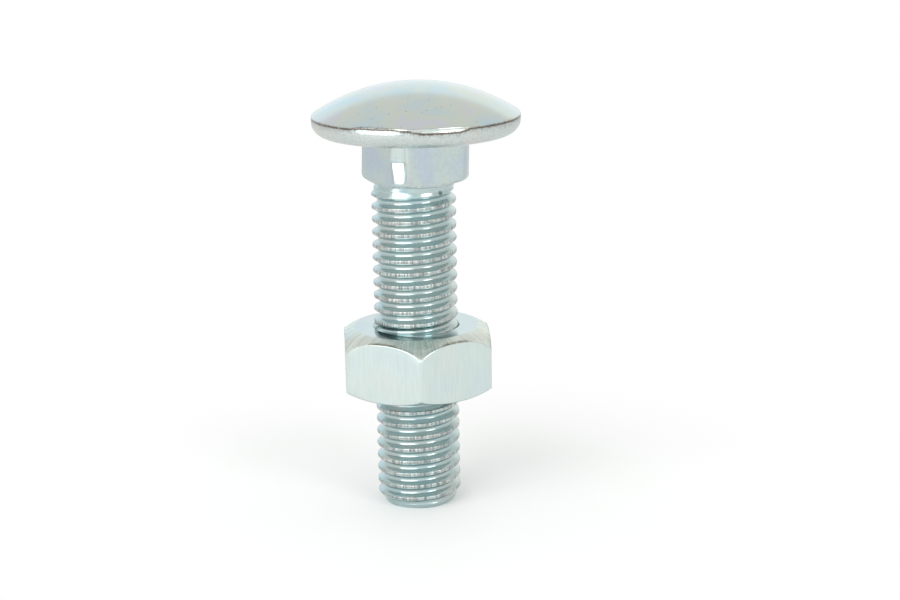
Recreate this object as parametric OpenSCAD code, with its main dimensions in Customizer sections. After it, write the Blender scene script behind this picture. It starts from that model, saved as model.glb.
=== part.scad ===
// Carriage bolt with a hex nut run part-way up its thread.
// It stands on the flat end of the thread, with its axis on Z and its head at the top.

/* [Head] */
// Diameter of the head at its widest line
head_d = 23.9; // [22:0.1:28]
// Height of the dome's top over the underside of the head
head_h = 5.9; // [5:0.1:7.5]
// Height of the head's widest line over its underside
rim_h = 2.1; // [1.8:0.1:2.6]
// Rounding between the rim and the dome
rim_edge_r = 0.3; // [0.2:0.1:1]
// Rounding between the rim and the underside
rim_under_r = 1.6; // [0.6:0.1:1.8]

/* [Square neck] */
// Width across the flats of the square neck
neck_w = 9.9; // [9.5:0.1:10.6]
// Depth of the square neck under the head
neck_h = 5.6; // [5:0.1:6.6]
// Rounding of the upright corners of the neck
neck_corner_r = 1.6; // [0.8:0.1:2]
// Slope of the neck's underside, in degrees
neck_under_slope = 15; // [15:1:40]
// Rounding at the lower end of the neck's corners
neck_under_r = 0.5; // [0.4:0.1:1]

/* [Thread] */
// Length from the underside of the head to the flat end
bolt_len = 44; // [35:0.5:70]
// Major diameter of the thread
thread_d = 9.75; // [9.7:0.01:9.97]
// Pitch of the thread
pitch = 1.5; // [1.25:0.25:1.5]
// Diameter of the plain shoulder between the neck and the thread
shoulder_d = 9.2; // [8.6:0.1:9.4]
// Length of the plain shoulder under the neck
shoulder_len = 1; // [0.6:0.1:3]
// Length over which the thread fades out below the shoulder
runout_len = 1.3; // [0.8:0.1:3]
// Diameter of the flat end
end_d = 7.9; // [7:0.1:8.2]
// Height of the chamfer at the flat end
end_chamfer_h = 1.3; // [0.8:0.1:2]

/* [Hex nut] */
// Width across the flats of the nut
nut_af = 16.85; // [16:0.05:18]
// Height of the nut
nut_h = 7.7; // [7:0.1:9]
// Diameter of the flat on the nut's crowned side
nut_top_d = 14.6; // [14:0.1:15.5]
// Diameter of the flat on the nut's chamfered side
nut_bottom_d = 14.6; // [14:0.1:15.5]
// Radius of the crown around the nut's upper flat
nut_crown_r = 4.2; // [3.6:0.1:6]
// Radius of the bulged chamfer around the nut's lower flat
nut_chamfer_r = 10; // [8:0.5:20]
// Diameter of the countersinks at the nut's bore
nut_sink_d = 10.8; // [10.5:0.1:11.5]
// Radial clearance between the nut's bore and the thread's crest
nut_clear = 0.07; // [0.03:0.01:0.1]
// Height of the nut's lower face over the flat end
nut_z = 13.7; // [6:0.1:20]
// Turn of the nut on the thread, in degrees
nut_turn = 4.5; // [0:0.5:59.5]

/* [Hidden] */
$fn = 96;

zinc = [0.79, 0.83, 0.85];
zinc_satin = [0.84, 0.87, 0.88];
overlap = 0.5;

// The head
head_r = head_d / 2;
rim_arc_x = head_r - rim_edge_r;
dome_rise = head_h - rim_h;
dome_r = (rim_arc_x ^ 2 + dome_rise ^ 2 - rim_edge_r ^ 2) / (2 * (dome_rise - rim_edge_r));
dome_angle = asin(rim_arc_x / (dome_r - rim_edge_r));
dome_steps = 20;
edge_steps = 6;

// The square neck
neck_z = bolt_len - neck_h;
neck_reach = neck_w / sqrt(2) - neck_corner_r * (sqrt(2) - 1);
neck_margin = 0.1;
shoulder_r = shoulder_d / 2;

// The thread, as a grid of columns around the bolt and four rows to each turn
columns = 36;
crest_r = thread_d / 2;
root_r = crest_r - 0.6134 * pitch;
crest_flat = pitch / 8;
flank_h = (crest_r - root_r) * tan(30);
row_r = [crest_r, crest_r, root_r, root_r];
row_z = [-crest_flat / 2, crest_flat / 2, crest_flat / 2 + flank_h, pitch - crest_flat / 2 - flank_h];
rows = len(row_r);
thread_phase = 0.47;
turns_below = 2;
turns_above = 1;
end_r = end_d / 2;
fade_r = shoulder_r - 0.05;
runout_z = neck_z - shoulder_len;
thread_top = runout_z + overlap;
grid_rows = rows * (turns_below + ceil(thread_top / pitch) + turns_above);

// The nut, whose crown and chamfer start at these slopes in degrees
nut_r = nut_af / 2 / cos(30);
bore_r = crest_r + nut_clear;
sink_r = nut_sink_d / 2;
crown_start = 15;
chamfer_start = 20;

// Points of an arc about a centre, from angle a to angle b
function arc(centre, r, a, b, steps) =
    [for (i = [0:steps]) centre + r * [cos(a + (b - a) * i / steps), sin(a + (b - a) * i / steps)]];

// Height of one point of the thread's grid
function grid_z(i, j) =
    pitch * (floor(i / rows) - turns_below + j / columns) + row_z[i % rows] + thread_phase;

// Share of the thread's full depth that is left at a height, near the shoulder
function thread_share(z) = max(0, min(1, (runout_z - z) / runout_len));

// Radius of one row of the thread at a height, within the end chamfer and the run-out
function thread_r(i, z) =
    min(fade_r + (row_r[i % rows] - fade_r) * thread_share(z),
        end_r + (crest_r - end_r) * z / end_chamfer_h);

// Number of the point at row i and column j: past either end it is the end ring's point
function point_at(i, j) =
    j == columns ? point_at(i + rows, 0)
    : i >= grid_rows || grid_z(i, j) >= thread_top ? (grid_rows + 1) * columns + j
    : grid_z(i, j) <= 0 ? grid_rows * columns + j
    : i * columns + j;

function is_face(f) = f[0] != f[1] && f[1] != f[2] && f[2] != f[0];

module thread() {
    grid = [for (i = [0:grid_rows - 1]) for (j = [0:columns - 1])
        let (z = grid_z(i, j), r = thread_r(i, z), a = 360 * j / columns)
        [r * cos(a), r * sin(a), z]];
    end_ring = [for (j = [0:columns - 1]) let (a = 360 * j / columns)
        [end_r * cos(a), end_r * sin(a), 0]];
    top_ring = [for (j = [0:columns - 1]) let (a = 360 * j / columns)
        [fade_r * cos(a), fade_r * sin(a), thread_top]];
    sides = [for (i = [0:grid_rows - 2]) for (j = [0:columns - 1])
        let (a = point_at(i, j), b = point_at(i, j + 1),
             c = point_at(i + 1, j + 1), d = point_at(i + 1, j))
        for (f = [[a, c, b], [a, d, c]]) if (is_face(f)) f];
    end_cap = [for (j = [0:columns - 1]) grid_rows * columns + j];
    top_cap = [for (j = [0:columns - 1]) (grid_rows + 2) * columns - 1 - j];
    polyhedron(concat(grid, end_ring, top_ring), concat(sides, [end_cap, top_cap]), convexity = 20);
}

module head() {
    translate([0, 0, bolt_len])
        rotate_extrude()
            polygon(concat(
                [[0, -overlap], [shoulder_r - 1, -overlap], [shoulder_r - 1, 0]],
                arc([head_r - rim_under_r, rim_under_r], rim_under_r, -90, 0, edge_steps),
                arc([rim_arc_x, rim_h], rim_edge_r, 0, 90 - dome_angle, edge_steps),
                [for (i = [1:dome_steps]) let (a = dome_angle * (1 - i / dome_steps))
                    [dome_r * sin(a), head_h - dome_r + dome_r * cos(a)]]));
}

module rounded_square(w, r) {
    square([w, w - 2 * r], center = true);
    square([w - 2 * r, w], center = true);
    for (x = [-1, 1])
        for (y = [-1, 1])
            translate([x, y] * (w / 2 - r))
                circle(r);
}

// Round envelope that slopes and rounds off the lower end of the neck
module neck_envelope() {
    reach = neck_reach + neck_margin;
    slope_x = reach - neck_under_r * (1 - sin(neck_under_slope));
    slope_z = (slope_x - shoulder_r) * tan(neck_under_slope);
    centre = [reach - neck_under_r, slope_z + neck_under_r * cos(neck_under_slope)];
    rotate_extrude()
        polygon(concat(
            [[0, 0], [shoulder_r, 0]],
            arc(centre, neck_under_r, neck_under_slope - 90, 0, edge_steps),
            [[reach, neck_h + overlap], [0, neck_h + overlap]]));
}

module neck() {
    translate([0, 0, neck_z])
        intersection() {
            linear_extrude(neck_h + overlap)
                rounded_square(neck_w, neck_corner_r);
            neck_envelope();
        }
}

module shoulder() {
    translate([0, 0, runout_z])
        cylinder(h = shoulder_len + overlap, r = shoulder_r);
}

module bolt() {
    color(zinc)
        union() {
            thread();
            shoulder();
            neck();
            head();
        }
}

// Half outline as high as the nut, rounded over by an arc outside its upper flat
module rounded_outline(flat_d, arc_r, start) {
    x = flat_d / 2 - arc_r * sin(start);
    z = nut_h - arc_r * cos(start);
    intersection() {
        square([nut_r + overlap, nut_h]);
        union() {
            square([x, nut_h]);
            translate([x, z])
                circle(arc_r);
            translate([0, z - arc_r])
                square([nut_r + overlap, arc_r]);
        }
    }
}

// Round envelope of the nut: chamfered below and crowned above
module nut_envelope() {
    rotate_extrude()
        intersection() {
            rounded_outline(nut_top_d, nut_crown_r, crown_start);
            translate([0, nut_h])
                mirror([0, 1])
                    rounded_outline(nut_bottom_d, nut_chamfer_r, chamfer_start);
        }
}

module nut_bore() {
    translate([0, 0, -overlap])
        cylinder(h = nut_h + 2 * overlap, r = bore_r);
    for (z = [[0, 1], [nut_h, -1]])
        translate([0, 0, z[0]])
            scale([1, 1, z[1]])
                translate([0, 0, -overlap])
                    cylinder(h = sink_r - bore_r + 2 * overlap, r1 = sink_r + overlap, r2 = bore_r - overlap);
}

module hex_nut() {
    color(zinc_satin)
        translate([0, 0, nut_z])
            rotate([0, 0, nut_turn])
                difference() {
                    intersection() {
                        cylinder(h = nut_h, r = nut_r, $fn = 6);
                        nut_envelope();
                    }
                    nut_bore();
                }
}

bolt();
hex_nut();
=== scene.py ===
import math

import bmesh
import bpy
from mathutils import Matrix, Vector, noise


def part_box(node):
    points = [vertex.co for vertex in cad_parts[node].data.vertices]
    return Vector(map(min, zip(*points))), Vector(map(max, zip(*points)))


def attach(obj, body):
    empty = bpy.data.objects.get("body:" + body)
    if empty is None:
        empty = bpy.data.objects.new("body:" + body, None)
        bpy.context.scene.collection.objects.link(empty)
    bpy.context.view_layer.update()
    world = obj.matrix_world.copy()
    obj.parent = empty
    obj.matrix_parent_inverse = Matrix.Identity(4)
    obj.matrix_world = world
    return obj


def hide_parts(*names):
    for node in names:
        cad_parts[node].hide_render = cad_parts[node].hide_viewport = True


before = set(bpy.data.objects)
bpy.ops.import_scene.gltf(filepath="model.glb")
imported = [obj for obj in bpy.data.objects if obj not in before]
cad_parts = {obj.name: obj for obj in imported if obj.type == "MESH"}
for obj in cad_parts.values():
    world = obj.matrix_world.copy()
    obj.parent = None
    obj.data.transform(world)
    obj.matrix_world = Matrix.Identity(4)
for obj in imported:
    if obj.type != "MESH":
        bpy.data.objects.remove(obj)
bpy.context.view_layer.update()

# ---------------------------------------------------------------------------------------- bolt
# One piece of low-carbon steel wire. The domed head and the square neck are cold-headed, the
# thread is rolled on, and the whole is barrel-plated with zinc and passivated clear.
mm = 0.001
bolt_low, bolt_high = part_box("bolt")
bolt_columns = 168

head_r = bolt_high.x
head_h = 5.9 * mm
rim_h = 2.1 * mm
rim_edge_r = 0.3 * mm
rim_under_r = 1.6 * mm
under_head = bolt_high.z - head_h

neck_w = 9.9 * mm
neck_h = 5.6 * mm
neck_corner_r = 1.6 * mm
neck_under_slope = math.radians(15)
neck_under_r = 0.5 * mm
neck_z = under_head - neck_h

shoulder_r = 4.6 * mm
runout_z = neck_z - 0.6 * mm
runout_len = 0.75 * mm

pitch = 1.5 * mm
crest_r = 4.875 * mm
crest_half = 0.10 * mm
crest_round = 0.11 * mm
root_round = 0.35 * mm
flank_slope = math.radians(30)
flank_h = pitch / 2 - crest_half - (crest_round + root_round) * math.cos(flank_slope)
root_r = crest_r - (crest_round + root_round) / 2 - flank_h / math.tan(flank_slope)
crest_at_x = 0.47 * mm
crest_band = 0.08 * mm
crest_ripple = 0.035 * mm
end_r = 3.95 * mm
end_chamfer_h = 1.3 * mm


def arc(centre_r, centre_z, radius, start, end, steps):
    """Points of an arc in the plane of radius and height, between two angles in degrees."""
    angles = [math.radians(start + (end - start) * i / steps) for i in range(steps + 1)]
    return [(centre_r + radius * math.cos(a), centre_z + radius * math.sin(a)) for a in angles]


def thread_outline(crest_z, gap=0.0):
    """One pitch of the thread, from root to root, with its crest at a height and moved out by a gap."""
    crest, root = crest_r + gap - crest_round, root_r + gap + root_round
    return (arc(root, crest_z - pitch / 2, root_round, 180, 120, 3)
            + arc(crest, crest_z - crest_half, crest_round, -60, 0, 2)
            + arc(crest, crest_z + crest_half, crest_round, 0, 60, 2)
            + arc(root, crest_z + pitch / 2, root_round, 240, 180, 3))


def spin_outline(mesh, points, columns, rise=0.0):
    """Spins a line of (radius, height) points once about Z, while it rises by a height."""
    verts = [mesh.verts.new((r, 0, z)) for r, z in points]
    edges = [mesh.edges.new(pair) for pair in zip(verts, verts[1:])]
    bmesh.ops.spin(mesh, geom=verts + edges, cent=(0, 0, 0), axis=(0, 0, 1),
                   dvec=(0, 0, rise / columns), angle=2 * math.pi, steps=columns, use_merge=rise == 0)


def wind_thread(mesh, points, columns, turns):
    """Winds a one-pitch outline about Z, turn on turn."""
    spin_outline(mesh, points, columns, pitch)
    first_turn = mesh.verts[:] + mesh.edges[:] + mesh.faces[:]
    for turn in range(1, turns):
        copied = bmesh.ops.duplicate(mesh, geom=first_turn)["geom"]
        copied_verts = [item for item in copied if isinstance(item, bmesh.types.BMVert)]
        bmesh.ops.translate(mesh, verts=copied_verts, vec=(0, 0, turn * pitch))


def share(value, low, high):
    """How far a value has come from low to high, kept between 0 and 1."""
    return max(0.0, min(1.0, (value - low) / (high - low)))


def place(vert, radius, height):
    """Moves a vertex to a radius and a height, on the side of the axis that it is on."""
    out = vert.co.xy.normalized() * radius
    vert.co = (out.x, out.y, height)


def closed_mesh(mesh, name, stain_and_shade_at):
    """Merges what was made side by side, turns the faces out and makes an object of it. The edges
    round its level faces are sharp. Each point keeps how stained and how darkened by painted shade it is,
    from 0 to 1."""
    bmesh.ops.remove_doubles(mesh, verts=mesh.verts, dist=0.004 * mm)
    bmesh.ops.dissolve_degenerate(mesh, edges=mesh.edges, dist=0.002 * mm)
    bmesh.ops.recalc_face_normals(mesh, faces=mesh.faces)
    for face in mesh.faces:
        face.smooth = True
    for edge in mesh.edges:
        sides_flat = {abs(face.normal.z) > 0.995 for face in edge.link_faces}
        edge.smooth = len(sides_flat) == 1
    data = bpy.data.meshes.new(name)
    mesh.to_mesh(data)
    mesh.free()
    # Each point's value darkens the finish: a stain, and painted shade where the given function puts it.
    stain_and_shade = data.attributes.new("stain_and_shade", "FLOAT", "POINT")
    stain_and_shade.data.foreach_set("value", [stain_and_shade_at(vert.co) for vert in data.vertices])
    piece = bpy.data.objects.new(name, data)
    bpy.context.scene.collection.objects.link(piece)
    return piece


# The rolled thread runs past both ends first. What lies past them is drawn back into the ring
# of the flat end or of the shoulder, and the crests fade into both.
bolt_mesh = bmesh.new()
first_crest = crest_at_x - 2 * pitch
thread_turns = math.ceil(runout_z / pitch) + 3
wind_thread(bolt_mesh, thread_outline(first_crest), bolt_columns, thread_turns)
for vert in bolt_mesh.verts:
    radius, height = vert.co.xy.length, vert.co.z
    if radius > crest_r - crest_band:
        spot_mm = (vert.co.x / mm * 5, vert.co.y / mm * 5, height / mm * 0.7)
        radius += crest_ripple * noise.noise(spot_mm)
    radius = shoulder_r + (radius - shoulder_r) * share(runout_z - height, 0, runout_len)
    radius = min(radius, end_r + (crest_r - end_r) * max(height, 0) / end_chamfer_h)
    if height <= 0 or height >= runout_z:
        radius = end_r if height <= 0 else shoulder_r
    place(vert, radius, max(0, min(runout_z, height)))

# The flat end is a little dished by the rolling.
dish_r = 2.6 * mm
dish_depth = 0.15 * mm
spin_outline(bolt_mesh, [(0, dish_depth), (dish_r / 2, dish_depth * 0.8), (dish_r, dish_depth / 4),
                         (dish_r + 0.3 * mm, 0), (end_r, 0)], bolt_columns)

# The shoulder and the neck. The neck is spun round first, and then drawn in to its square, whose
# corners keep the round of the wire. One of them was filled less than the others, up to an edge.
neck_reach = neck_w / math.sqrt(2) - neck_corner_r * (math.sqrt(2) - 1)
underside_r = neck_reach + 1.6 * mm
neck_edge_r = 0.3 * mm
neck_flare = 0.35 * mm
facet_side = math.radians(218.5)
facet_reach = math.radians(10)
facet = [(6.45 * mm, neck_z + 0.35 * mm), (5.84 * mm, neck_z + 3.2 * mm), (5.93 * mm, under_head)]
thin_side = math.radians(315)
thin_by = 0.2 * mm


def rounded_radius(angle, half_width, corner_r, sides):
    """Radius, in a direction, of a regular outline with rounded corners and a flat at angle 0."""
    sector = math.pi / sides
    turned = abs((angle + sector) % (2 * sector) - sector)
    if half_width * math.tan(turned) <= (half_width - corner_r) * math.tan(sector):
        return half_width / math.cos(turned)
    centre = (half_width - corner_r) / math.cos(sector)
    along = centre * math.cos(sector - turned)
    return along + math.sqrt(along ** 2 - centre ** 2 + corner_r ** 2)


def soft_least(a, b, blend):
    """The lesser of two radii, with the edge between them rounded off."""
    near = max(0.0, blend - abs(a - b)) / blend
    return min(a, b) - near * near * blend / 4


slope_r = neck_reach - neck_under_r * (1 - math.sin(neck_under_slope))
slope_z = neck_z + (slope_r - shoulder_r) * math.tan(neck_under_slope)
corner_z = slope_z + neck_under_r * math.cos(neck_under_slope)
slope = [(shoulder_r + (slope_r - shoulder_r) * i / 12, neck_z + (slope_z - neck_z) * i / 12)
         for i in range(12)]
corner = arc(neck_reach - neck_under_r, corner_z, neck_under_r, -65, 0, 6)
sides = [(neck_reach, corner_z + (under_head - neck_flare - corner_z) * i / 24) for i in range(1, 25)]
fillet = [(neck_reach, under_head - neck_flare * (1 - i / 5)) for i in range(1, 6)]
shoulder = [(shoulder_r, runout_z + (neck_z - 0.1 * mm - runout_z) * i / 3) for i in range(4)]

neck_mesh = bmesh.new()
spin_outline(neck_mesh, shoulder + slope + corner + sides + fillet + [(underside_r, under_head)],
             bolt_columns)
for vert in neck_mesh.verts:
    radius, height = vert.co.xy.length, vert.co.z
    if height < neck_z or radius > neck_reach + 0.1 * mm:
        continue
    angle = math.atan2(vert.co.y, vert.co.x)
    (low_r, low_z), (edge_r, edge_z), (high_r, high_z) = facet
    worn = low_r + (edge_r - low_r) * share(height, low_z, edge_z) + (high_r - edge_r) * share(
        height, edge_z, high_z)
    at_facet = share(math.cos(angle - facet_side), math.cos(facet_reach * 1.5), math.cos(facet_reach))
    at_thin = share(math.cos(angle - thin_side), math.cos(math.radians(35)), math.cos(math.radians(20)))
    radius += (worn - neck_reach) * at_facet - thin_by * at_thin
    square = rounded_radius(angle, neck_w / 2, neck_edge_r, 4)
    rise = share(height, under_head - neck_flare, under_head)
    flare = neck_flare * (1 - math.sqrt(1 - rise ** 2))
    place(vert, soft_least(radius, square, 0.06 * mm) + flare, height)
neck_data = bpy.data.meshes.new("neck")
neck_mesh.to_mesh(neck_data)
neck_mesh.free()
bolt_mesh.from_mesh(neck_data)

# The head: a flat underside, a rounded rim and a dome that meets the rim in a tight curve.
rim_arc_r = head_r - rim_edge_r
dome_rise = head_h - rim_h
dome_r = (rim_arc_r ** 2 + dome_rise ** 2 - rim_edge_r ** 2) / (2 * (dome_rise - rim_edge_r))
dome_angle = math.degrees(math.asin(rim_arc_r / (dome_r - rim_edge_r)))
rim_z = under_head + rim_h
rim_band = [(head_r, under_head + rim_under_r + (rim_h - rim_under_r) * i / 6) for i in range(1, 6)]
spin_outline(bolt_mesh, [(underside_r, under_head), (underside_r + 1.0 * mm, under_head)]
             + arc(head_r - rim_under_r, under_head + rim_under_r, rim_under_r, -90, 0, 24) + rim_band
             + arc(rim_arc_r, rim_z, rim_edge_r, 0, 90 - dome_angle, 10)
             + arc(0, bolt_high.z - dome_r, dome_r, 90 - dome_angle, 90, 28)[1:], bolt_columns)

# In two places the rim was squeezed back at the crease. Each squeeze has its side, half its width
# as an angle, the height that it leans over, how far it leans, and how far it shifts the crease's
# line of stain and painted shade.
squeezes = [(math.radians(221), math.radians(15), 0.42 * mm, 0.13 * mm, 0.12 * mm),
            (math.radians(257), math.radians(17), 0.34 * mm, 0.12 * mm, -0.36 * mm)]
squeeze_above = 0.4 * mm
crease_drop = 0.06 * mm


def squeezed(spot, middle, half_width):
    """How much a squeeze reaches a spot on the rim, from 0 to 1, by its side alone."""
    angle = math.atan2(spot.y, spot.x) - middle
    return share(math.cos(angle), math.cos(half_width), math.cos(half_width * 0.6))


for vert in bolt_mesh.verts:
    if vert.co.xy.length > head_r - 1.0 * mm and vert.co.z > under_head:
        lean = 0.0
        for middle, half_width, lean_h, most, crease_shift in squeezes:
            above = vert.co.z - rim_z
            reach = share(above, -lean_h, 0) if above < 0 else share(above, squeeze_above, 0)
            lean += most * squeezed(vert.co, middle, half_width) * reach
        place(vert, vert.co.xy.length - lean, vert.co.z)

# The head and the neck were upset a little off the axis of the shank.
offset_side = math.radians(330.9)
offset_way = Vector((math.cos(offset_side), math.sin(offset_side), 0))
neck_offset = 0.28 * mm
head_offset = 0.18 * mm
for vert in bolt_mesh.verts:
    offset = neck_offset * share(vert.co.z, runout_z, neck_z)
    offset += head_offset * share(vert.co.z, neck_z, under_head)
    vert.co += offset_way * offset

# The crease line is a stain with painted shade and a painted dark reflection in it, and the rim below it is
# darker for a way.
crease_stain_and_shade = 0.26 * mm
rim_darkening = 0.9 * mm


def bolt_stain_and_shade(spot):
    """Darker along the crease round the rim, as a stain with painted shade and a painted dark
    reflection in it, darker for a little way down the rim below it, and a little darker along the
    lower edge of the neck.
    """
    radius, below_crease = spot.xy.length, rim_z - crease_drop - spot.z
    for middle, half_width, lean_h, most, crease_shift in squeezes:
        below_crease += (crease_shift + crease_drop) * squeezed(spot, middle, half_width)
    if radius > head_r - 0.9 * mm and spot.z > under_head:
        along_crease = share(abs(below_crease), crease_stain_and_shade, 0)
        down_rim = 0.45 * share(below_crease, rim_darkening, 0) if below_crease > 0 else 0
        return max(along_crease, down_rim)
    if neck_z < spot.z < under_head:
        edge_z = neck_z + (radius - shoulder_r) * math.tan(neck_under_slope) + 0.12 * mm
        return 0.35 * share(abs(spot.z - edge_z), 0.3 * mm, 0)
    return 0.0


bolt = closed_mesh(bolt_mesh, "carriage_bolt", bolt_stain_and_shade)


def node(tree, kind, inputs=(), **settings):
    """Adds a shader node, sets it up and joins or fills its inputs, which are named or numbered."""
    made = tree.nodes.new(kind)
    for name, value in settings.items():
        setattr(made, name, value)
    for name, value in dict(inputs).items():
        if isinstance(value, bpy.types.NodeSocket):
            tree.links.new(value, made.inputs[name])
        else:
            made.inputs[name].default_value = value
    return made


def zinc_finish(name, tints, roughness, grain=None, streaks=None, pits=False, stain_and_shade_colour=None, shift=0.0,
                painted_shade_spots=()):
    """Zinc plate: a passivated metal whose colour drifts between tints. It may have a grain, given as
    its size and depth in mm and how dark, and upright streaks round the axis, given as how many, how
    deep in mm and how dark. It may also have small pits, a stain on its worn edges that also carries
    painted shade and painted dark reflections, and painted spots of shade, each given as its place
    and radius in mm and its colour."""
    material = bpy.data.materials.new(name)
    material.use_nodes = True
    tree = material.node_tree
    tree.nodes.clear()
    spot = node(tree, "ShaderNodeTexCoord").outputs["Object"]
    moved = node(tree, "ShaderNodeVectorMath", {0: spot, 1: (shift, 0, 0)}, operation="ADD")
    drift = node(tree, "ShaderNodeTexNoise", {"Vector": moved.outputs[0], "Scale": 230, "Detail": 3,
                 "Roughness": 0.45})
    tint = node(tree, "ShaderNodeValToRGB", {"Fac": drift.outputs["Fac"]})
    ramp = tint.color_ramp
    ramp.elements[0].position, ramp.elements[1].position = 0.34, 0.66
    ramp.elements[0].color, ramp.elements[1].color = (*tints[0], 1), (*tints[-1], 1)
    for i in range(1, len(tints) - 1):
        ramp.elements.new(0.34 + 0.32 * i / (len(tints) - 1)).color = (*tints[i], 1)
    colour = tint.outputs["Color"]
    cloud = node(tree, "ShaderNodeTexNoise", {"Vector": spot, "Scale": 900, "Detail": 4})
    rough = node(tree, "ShaderNodeMapRange", {"Value": cloud.outputs["Fac"], "From Min": 0.3,
                 "From Max": 0.7, "To Min": roughness * 0.8, "To Max": roughness * 1.25})
    bumps = []
    if grain:
        speck = node(tree, "ShaderNodeTexNoise", {"Vector": spot, "Scale": 1000 / grain[0], "Detail": 2})
        bumps.append((speck.outputs["Fac"], grain[1]))
        mottle = node(tree, "ShaderNodeMapRange", {"Value": speck.outputs["Fac"], "From Min": 0.3,
                      "From Max": 0.7, "To Min": 1 - grain[2], "To Max": 1 + grain[2] / 2})
        mottled = node(tree, "ShaderNodeMix", {0: 1.0, 6: colour, 7: mottle.outputs["Result"]},
                       data_type="RGBA", blend_type="MULTIPLY")
        colour = mottled.outputs[2]
    if streaks:
        count, depth_mm, darkness = streaks
        flat = node(tree, "ShaderNodeVectorMath", {0: spot, 1: (1, 1, 0)}, operation="MULTIPLY")
        around = node(tree, "ShaderNodeVectorMath", {0: flat.outputs[0]}, operation="NORMALIZE")
        tall = node(tree, "ShaderNodeVectorMath", {0: spot, 1: (0, 0, 400)}, operation="MULTIPLY")
        streak_at = node(tree, "ShaderNodeVectorMath", {0: around.outputs[0],
                         1: (count / (2 * math.pi),) * 3, 2: tall.outputs[0]}, operation="MULTIPLY_ADD")
        streak = node(tree, "ShaderNodeTexNoise", {"Vector": streak_at.outputs[0], "Scale": 1.0, "Detail": 2})
        bumps.append((streak.outputs["Fac"], depth_mm))
        shade = node(tree, "ShaderNodeMapRange", {"Value": streak.outputs["Fac"], "From Min": 0.35,
                     "From Max": 0.65, "To Min": 1 - darkness, "To Max": 1 + darkness / 2})
        shaded = node(tree, "ShaderNodeMix", {0: 1.0, 6: colour, 7: shade.outputs["Result"]},
                      data_type="RGBA", blend_type="MULTIPLY")
        colour = shaded.outputs[2]
    if pits:
        cell = node(tree, "ShaderNodeTexVoronoi", {"Vector": spot, "Scale": 1300})
        round_pit = node(tree, "ShaderNodeMapRange", {"Value": cell.outputs["Distance"],
                         "From Min": 0.06, "From Max": 0.16, "To Min": 1.0, "To Max": 0.0})
        chosen = node(tree, "ShaderNodeMapRange", {"Value": cell.outputs["Color"],
                      "From Min": 0.48, "From Max": 0.54})
        pit = node(tree, "ShaderNodeMath", {0: round_pit.outputs["Result"], 1: chosen.outputs["Result"]},
                   operation="MULTIPLY")
        stained = node(tree, "ShaderNodeMix", {0: pit.outputs[0], 6: colour, 7: (0.40, 0.43, 0.42, 1)},
                       data_type="RGBA")
        colour = stained.outputs[2]
    # The stain colour is mixed in by each point's value: real stain, with painted shade and painted dark
    # reflections along creases and edges.
    if stain_and_shade_colour:
        stain_and_shade = node(tree, "ShaderNodeAttribute", attribute_name="stain_and_shade").outputs["Fac"]
        broken = node(tree, "ShaderNodeTexNoise", {"Vector": streak_at.outputs[0] if streaks else spot,
                      "Scale": 0.4 if streaks else 4200, "Detail": 3})
        ragged = node(tree, "ShaderNodeMath", {0: broken.outputs["Fac"], 1: stain_and_shade}, operation="ADD")
        share_stained_and_shaded = node(tree, "ShaderNodeMapRange", {"Value": ragged.outputs[0], "From Min": 0.75,
                          "From Max": 1.35})
        stained_and_shaded = node(tree, "ShaderNodeMix", {0: share_stained_and_shaded.outputs["Result"], 6: colour, 7: (*stain_and_shade_colour, 1)},
                     data_type="RGBA")
        colour = stained_and_shaded.outputs[2]
    # Each painted spot is a colour laid round a place, painted shade for a recess.
    for centre, radius_mm, shade_colour in painted_shade_spots:
        away = node(tree, "ShaderNodeVectorMath", {0: spot, 1: Vector(centre) * mm}, operation="DISTANCE")
        torn = node(tree, "ShaderNodeMath", {0: cloud.outputs["Fac"], 1: -1.6 * radius_mm * mm,
                    2: away.outputs["Value"]}, operation="MULTIPLY_ADD")
        inside = node(tree, "ShaderNodeMapRange", {"Value": torn.outputs[0],
                      "From Min": -0.2 * radius_mm * mm, "From Max": 0.2 * radius_mm * mm,
                      "To Min": 1.0, "To Max": 0.0})
        spot_shaded = node(tree, "ShaderNodeMix", {0: inside.outputs["Result"], 6: colour, 7: (*shade_colour, 1)},
                      data_type="RGBA")
        colour = spot_shaded.outputs[2]
    metal = node(tree, "ShaderNodeBsdfPrincipled", {"Base Color": colour, "Metallic": 1.0,
                 "Roughness": rough.outputs["Result"]})
    for height, depth_mm in bumps:
        bump = node(tree, "ShaderNodeBump", {"Height": height, "Strength": 1.0, "Distance": depth_mm * mm})
        if metal.inputs["Normal"].is_linked:
            tree.links.new(metal.inputs["Normal"].links[0].from_socket, bump.inputs["Normal"])
        tree.links.new(bump.outputs["Normal"], metal.inputs["Normal"])
    node(tree, "ShaderNodeOutputMaterial", {"Surface": metal.outputs["BSDF"]})
    return material


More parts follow.
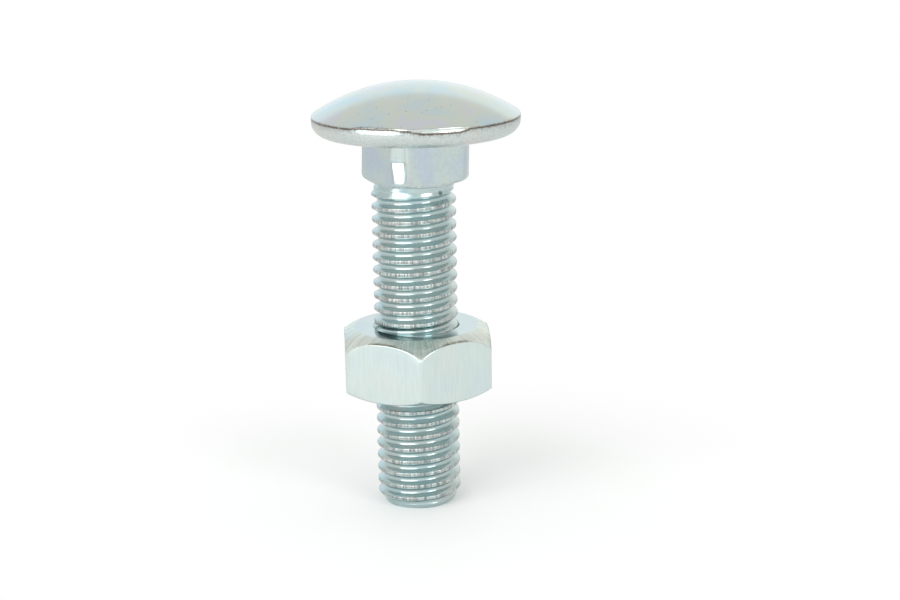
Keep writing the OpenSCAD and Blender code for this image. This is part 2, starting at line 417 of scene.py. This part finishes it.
# The forged dome is bright, the rim under its edge is grainy, and the rolled thread is bluer, with
# rougher, notched crests and a painted dark spot of shade on its shoulder. The neck lies between them.
bolt_finishes = [
    # The dome's and the rim's stain colours draw the crease line, with painted shade and a painted dark
    # reflection in it.
    zinc_finish("dome_zinc", [(0.53, 0.65, 0.70), (0.57, 0.65, 0.65), (0.61, 0.66, 0.60),
                              (0.61, 0.63, 0.68)], 0.14, pits=True, stain_and_shade_colour=(0.16, 0.13, 0.11)),
    zinc_finish("rim_zinc", [(0.60, 0.65, 0.64), (0.58, 0.64, 0.63), (0.63, 0.64, 0.61)],
                0.32, (0.16, 0.008, 0.16), stain_and_shade_colour=(0.14, 0.11, 0.09)),
    zinc_finish("neck_zinc", [(0.48, 0.55, 0.63), (0.50, 0.58, 0.60), (0.53, 0.60, 0.57),
                              (0.52, 0.58, 0.59)], 0.16, (0.35, 0.004, 0.06), pits=True,
                stain_and_shade_colour=(0.26, 0.22, 0.20), shift=0.013),
    zinc_finish("thread_zinc", [(0.44, 0.56, 0.58), (0.46, 0.56, 0.56), (0.48, 0.55, 0.54)], 0.17,
                # A dark spot painted on the shoulder, as shade in the pocket where the thread's groove runs
                # out.
                painted_shade_spots=[((1.10, -4.57, 37.60), 0.34, (0.17, 0.22, 0.22))]),
    zinc_finish("crest_zinc", [(0.48, 0.55, 0.55), (0.51, 0.56, 0.55), (0.55, 0.56, 0.55)],
                0.20, (0.2, 0.01, 0.1), (150, 0.08, 0.5)),
]
crest_facing = 0.07 * mm
for finish in bolt_finishes:
    bolt.data.materials.append(finish)
for face in bolt.data.polygons:
    if face.center.z < neck_z:
        face.material_index = 4 if face.center.xy.length > crest_r - crest_facing else 3
    elif face.center.z < under_head - 0.001 * mm:
        face.material_index = 2
    else:
        face.material_index = 1 if face.center.z < rim_z - crease_drop else 0
bolt.modifiers.new("even_flanks", "WEIGHTED_NORMAL")
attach(bolt, "bolt")
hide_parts("bolt")

# ----------------------------------------------------------------------------------------- nut
# A cold-forged steel hex nut, crowned on top and chamfered below, tapped through and
# countersunk at both faces. It is zinc-plated like the bolt, with a paler satin finish.
nut_low, nut_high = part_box("hex_nut")
nut_columns = 192
nut_h = nut_high.z - nut_low.z
nut_af = 16.85 * mm
nut_turn = math.radians(4.5)
nut_top_r = 7.2 * mm
nut_bottom_r = 7.3 * mm
nut_crown_r = 3.9 * mm
nut_crown_start = math.radians(15)
nut_chamfer_r = 10.0 * mm
nut_chamfer_start = math.radians(20)
nut_corner_r = 0.5 * mm
nut_edge = 0.22 * mm
nut_sink_r = 5.1 * mm
nut_sink_depth = 0.95 * mm
thread_gap = 0.05 * mm


def towards_corners(angle):
    """An angle round the nut, moved so that columns crowd towards the nearest corner."""
    sixth = (angle - nut_turn) / (math.pi / 3)
    return angle - math.sin(2 * math.pi * sixth) * 0.8 / 6


def drop_at(radius, flat_r, round_r, start):
    """How far the rounding outside a flat face lies below it, at a radius."""
    out = radius - flat_r + round_r * math.sin(start)
    return round_r * math.cos(start) - math.sqrt(round_r ** 2 - out ** 2)


# The outside and both faces are spun as a plain drum, one row for each height, and each row is
# then set to its place: chamfer, flats and crown meet along rows, whose edges are rounded off.
chamfer_rows, flat_rows, crown_rows = 4, 6, 8
flat_row = 1 + chamfer_rows
crown_row = flat_row + flat_rows
last_row = crown_row + crown_rows + 1
nut_mesh = bmesh.new()
spin_outline(nut_mesh, [(nut_af / 2, row * mm) for row in range(last_row + 1)], nut_columns)
creases = [edge for edge in nut_mesh.edges
           if all(round(vert.co.z / mm) in (flat_row, crown_row) for vert in edge.verts)]
for vert in nut_mesh.verts:
    row = round(vert.co.z / mm)
    if row in (0, last_row):
        place(vert, nut_sink_r, nut_low.z if row == 0 else nut_high.z)
        continue
    angle = towards_corners(math.atan2(vert.co.y, vert.co.x))
    vert.co.xy = (math.cos(angle), math.sin(angle))
    side = rounded_radius(angle - nut_turn - math.pi / 6, nut_af / 2, nut_corner_r, 6)
    low = nut_low.z + drop_at(side, nut_bottom_r, nut_chamfer_r, nut_chamfer_start)
    high = nut_high.z - drop_at(side, nut_top_r, nut_crown_r, nut_crown_start)
    if row <= flat_row:
        radius = nut_bottom_r + (side - nut_bottom_r) * (row - 1) / chamfer_rows
        place(vert, radius, nut_low.z + drop_at(radius, nut_bottom_r, nut_chamfer_r, nut_chamfer_start))
    elif row <= crown_row:
        place(vert, side, low + (high - low) * (row - flat_row) / flat_rows)
    else:
        radius = side + (nut_top_r - side) * (row - crown_row) / crown_rows
        place(vert, radius, nut_high.z - drop_at(radius, nut_top_r, nut_crown_r, nut_crown_start))
bmesh.ops.bevel(nut_mesh, geom=creases, offset=nut_edge, segments=3, profile=0.5, affect="EDGES",
                material=-1)

# The tapped hole matches the bolt's thread with a gap. It opens into the countersinks, and its
# groove fades in between a little below each face and the countersink's depth.
groove_start = 0.35 * mm
tap_mesh = bmesh.new()
lowest_turn = math.floor((nut_low.z - crest_at_x) / pitch) - 2
wind_thread(tap_mesh, thread_outline(crest_at_x + lowest_turn * pitch, thread_gap), nut_columns,
            math.ceil(nut_h / pitch) + 4)
for vert in tap_mesh.verts:
    height = max(nut_low.z, min(nut_high.z, vert.co.z))
    from_face = min(height - nut_low.z, nut_high.z - height)
    cone_r = nut_sink_r - from_face
    beyond = vert.co.xy.length - cone_r
    radius = cone_r + max(0, beyond) * share(from_face, groove_start, nut_sink_depth)
    place(vert, radius, height)
tap_data = bpy.data.meshes.new("tap")
tap_mesh.to_mesh(tap_data)
tap_mesh.free()
nut_mesh.from_mesh(tap_data)

# The side round which a dark reflection is painted along the upper edges of the flats.
painted_reflection_side = math.radians(245)


def nut_painted_reflection(spot):
    """Painted dark reflection along the upper edges of the flats, under the crown, on the side
    towards the camera.
    """
    angle = math.atan2(spot.y, spot.x) - nut_turn - math.pi / 6
    side = rounded_radius(angle, nut_af / 2, nut_corner_r, 6)
    drop = drop_at(side, nut_top_r, nut_crown_r, nut_crown_start)
    if spot.z < nut_high.z - drop or spot.xy.length < nut_top_r:
        return 0.0
    front = share(math.cos(math.atan2(spot.y, spot.x) - painted_reflection_side), 0.3, 0.7)
    return 0.7 * front * share(side - spot.xy.length, 0.6 * mm, 0.25 * mm) * share(
        math.cos(6 * angle), -0.3, 0.5)


nut = closed_mesh(nut_mesh, "hex_nut_dressed", nut_painted_reflection)
nut_tints = [(0.62, 0.72, 0.72), (0.64, 0.73, 0.71), (0.66, 0.72, 0.70)]
nut.data.materials.append(zinc_finish("satin_zinc", nut_tints, 0.20, None, (420, 0.006, 0.05)))
pressed_tints = [(0.53, 0.60, 0.64), (0.56, 0.64, 0.64), (0.57, 0.61, 0.63)]
nut.data.materials.append(zinc_finish("pressed_zinc", pressed_tints, 0.15))
nut.data.materials.append(bolt_finishes[3])
# The crown's stain colour is a painted dark reflection along the upper edges of the flats.
crown_tints = [(0.66, 0.74, 0.71), (0.69, 0.75, 0.70), (0.71, 0.74, 0.69)]
nut.data.materials.append(zinc_finish("crown_zinc", crown_tints, 0.30, None, (300, 0.012, 0.16),
                                      stain_and_shade_colour=(0.20, 0.15, 0.09)))
for face in nut.data.polygons:
    if face.center.xy.length < nut_sink_r:
        face.material_index = 2
    elif abs(face.normal.z) > 0.995:
        face.material_index = 1
    elif face.normal.z > 0.35:
        face.material_index = 3
weigh = nut.modifiers.new("even_flats", "WEIGHTED_NORMAL")
weigh.keep_sharp = True
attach(nut, "nut")
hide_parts("hex_nut")

# --------------------------------------------------------------------------------------- stage
# A white table and white surroundings. The table holds the soft shadow round the bolt's foot,
# and further out it and the world are plain white to the eye and in the metal.
floor_mesh = bmesh.new()
bmesh.ops.create_grid(floor_mesh, x_segments=1, y_segments=1, size=3)
floor_data = bpy.data.meshes.new("table")
floor_mesh.to_mesh(floor_data)
floor_mesh.free()
floor = bpy.data.objects.new("table", floor_data)
bpy.context.scene.collection.objects.link(floor)

floor_white = bpy.data.materials.new("white_table")
floor_white.use_nodes = True
tree = floor_white.node_tree
tree.nodes.clear()
spot = node(tree, "ShaderNodeTexCoord").outputs["Object"]
far = node(tree, "ShaderNodeVectorMath", {0: spot}, operation="LENGTH")
outer = node(tree, "ShaderNodeMapRange", {"Value": far.outputs["Value"], "From Min": 0.02,
             "From Max": 0.055}, interpolation_type="SMOOTHSTEP")
path = node(tree, "ShaderNodeLightPath")
plain = node(tree, "ShaderNodeMath", {0: outer.outputs["Result"], 1: path.outputs["Is Camera Ray"]},
             operation="MULTIPLY")
lift = node(tree, "ShaderNodeMath", {0: path.outputs["Is Camera Ray"], 1: 0.02}, operation="MULTIPLY")
paper = node(tree, "ShaderNodeBsdfPrincipled", {"Base Color": (0.97, 0.97, 0.97, 1), "Roughness": 0.6,
             "Specular IOR Level": 0.2, "Emission Color": (1, 1, 1, 1), "Emission Strength": lift.outputs[0]})
white = node(tree, "ShaderNodeEmission", {"Color": (1, 1, 1, 1), "Strength": 1.0})
mix = node(tree, "ShaderNodeMixShader", {0: plain.outputs[0], 1: paper.outputs["BSDF"], 2: white.outputs[0]})
node(tree, "ShaderNodeOutputMaterial", {"Surface": mix.outputs[0]})
floor.data.materials.append(floor_white)

# ------------------------------------------------------------------------------ camera and light
# The camera looks down a little on the bolt. Two soft boxes stand in front to its left and
# right, and a grey gap in the white surroundings lies overhead, between them and the camera.
camera_side = math.radians(240.9)
camera_rise = math.radians(14.3)
camera_distance = 220 * mm
camera_lens = 75.4
camera_roll = math.radians(-0.95)


def direction(side, rise):
    """Unit vector towards a side of the object, as an angle about Z, and a height angle."""
    return Vector((math.cos(side) * math.cos(rise), math.sin(side) * math.cos(rise), math.sin(rise)))


to_camera = direction(camera_side, camera_rise)
to_right = direction(camera_side + math.pi / 2, 0)
aim = Vector((0, 0, 24.25 * mm)) + to_right * 4.0 * mm
camera = bpy.data.objects.new("camera", bpy.data.cameras.new("camera"))
camera.data.lens = camera_lens
camera.data.clip_start = 0.01
camera.location = aim + to_camera * camera_distance
camera.rotation_euler = to_camera.to_track_quat("Z", "Y").to_euler()
camera.rotation_euler.rotate_axis("Z", camera_roll)
bpy.context.scene.collection.objects.link(camera)
bpy.context.scene.camera = camera


def soft_box(name, side, rise, distance, width, height, brightness):
    """A soft box that faces the bolt. Its brightness is what a mirror would show, where 1 is white."""
    data = bpy.data.lights.new(name, "AREA")
    data.shape = "RECTANGLE"
    data.size, data.size_y = width, height
    data.energy = brightness * math.pi * width * height
    lamp = bpy.data.objects.new(name, data)
    towards = direction(side, rise)
    lamp.location = aim + towards * distance
    lamp.rotation_euler = towards.to_track_quat("Z", "Y").to_euler()
    lamp.visible_camera = False
    bpy.context.scene.collection.objects.link(lamp)
    return lamp


soft_box("left_box", camera_side - math.radians(40), math.radians(30), distance=0.6, width=0.53,
         height=0.45, brightness=2.3)
soft_box("right_box", camera_side + math.radians(40), math.radians(30), distance=0.6, width=0.22,
         height=0.18, brightness=5.0)

world = bpy.data.worlds.new("white_room")
world.use_nodes = True
bpy.context.scene.world = world
tree = world.node_tree
tree.nodes.clear()
way = node(tree, "ShaderNodeTexCoord").outputs["Generated"]
path = node(tree, "ShaderNodeLightPath")
across = node(tree, "ShaderNodeVectorMath", {0: way, 1: tuple(to_right)}, operation="DOT_PRODUCT")
side = node(tree, "ShaderNodeMapRange", {"Value": across.outputs["Value"], "From Min": -0.4, "From Max": 0.4})
walls = node(tree, "ShaderNodeMix", {0: side.outputs["Result"], 6: (0.94, 1.06, 1.13, 1),
             7: (1.09, 1.10, 1.05, 1)}, data_type="RGBA")
height = node(tree, "ShaderNodeSeparateXYZ", {0: way}).outputs["Z"]
bent = node(tree, "ShaderNodeMath", {0: across.outputs["Value"], 1: 2.0}, operation="POWER")
arch = node(tree, "ShaderNodeMath", {0: bent.outputs[0], 1: 0.75, 2: height}, operation="MULTIPLY_ADD")
above = node(tree, "ShaderNodeMapRange", {"Value": arch.outputs[0], "From Min": 0.50, "From Max": 0.66},
             interpolation_type="SMOOTHSTEP")
room = node(tree, "ShaderNodeMix", {0: above.outputs["Result"], 6: walls.outputs[2],
            7: (0.87, 0.87, 0.85, 1)}, data_type="RGBA")
gap_tilt = math.radians(19)
gap_outer = math.radians(13)
gap_inner = math.radians(5)
gap_plane = direction(camera_side, -gap_tilt)
apart = node(tree, "ShaderNodeVectorMath", {0: way, 1: tuple(gap_plane)}, operation="DOT_PRODUCT")
off_gap = node(tree, "ShaderNodeMath", {0: apart.outputs["Value"]}, operation="ABSOLUTE")
near_gap = node(tree, "ShaderNodeMapRange", {"Value": off_gap.outputs[0],
                "From Min": math.sin(gap_outer), "From Max": math.sin(gap_inner)},
                interpolation_type="SMOOTHSTEP")
gap = node(tree, "ShaderNodeMapRange", {"Value": height, "From Min": 0.6, "From Max": 0.8,
           "To Max": near_gap.outputs["Result"]}, interpolation_type="SMOOTHSTEP")
overhead = node(tree, "ShaderNodeMix", {0: gap.outputs["Result"], 6: room.outputs[2],
                7: (0.48, 0.52, 0.51, 1)}, data_type="RGBA")
seen = node(tree, "ShaderNodeMix", {0: path.outputs["Is Camera Ray"], 6: overhead.outputs[2],
            7: (1, 1, 1, 1)}, data_type="RGBA")
direct = node(tree, "ShaderNodeMath", {0: path.outputs["Is Camera Ray"], 1: path.outputs["Is Glossy Ray"]},
              operation="MAXIMUM")
level = node(tree, "ShaderNodeMapRange", {"Value": direct.outputs[0], "To Min": 0.90, "To Max": 1.0})
sky = node(tree, "ShaderNodeBackground", {"Color": seen.outputs[2], "Strength": level.outputs["Result"]})
node(tree, "ShaderNodeOutputWorld", {"Surface": sky.outputs[0]})

bpy.context.scene.view_settings.view_transform = "Standard"
